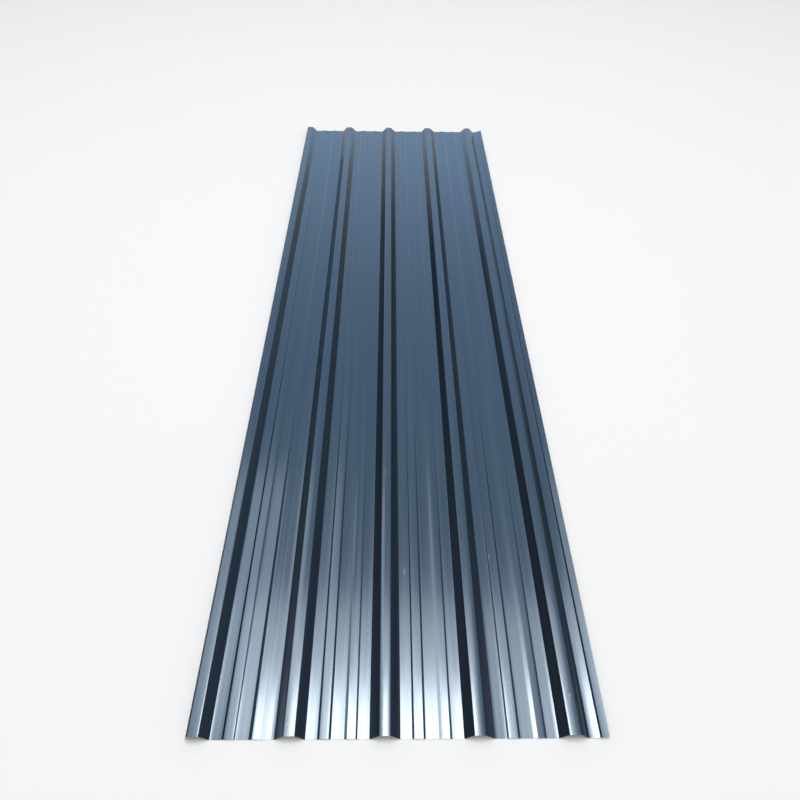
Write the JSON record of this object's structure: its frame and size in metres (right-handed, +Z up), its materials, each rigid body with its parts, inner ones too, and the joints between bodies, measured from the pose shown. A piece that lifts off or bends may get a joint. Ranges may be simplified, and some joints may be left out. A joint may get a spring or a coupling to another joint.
{
  "type": "trapezoidal profiled roofing sheet",
  "caption": "Long roll-formed steel roofing sheet with wide trapezoidal ribs, shallow stiffeners in the pans, an overlap rib and a turned-up underlap edge.",
  "frame": {"origin": "midway between the side edges and between the cut ends, on the plane of the pan undersides", "axes": "+Y along the ribs, +X across the sheet from the overlap rib to the underlap edge, +Z up out of the ribbed face"},
  "size_m": [0.9142, 3, 0.0211],
  "materials": {
    "prepainted_steel": "glossy dark slate-blue coil coating"
  },
  "bodies": {
    "root": {"corrugated_sheet": "prepainted_steel"}
  },
  "joints": []
}
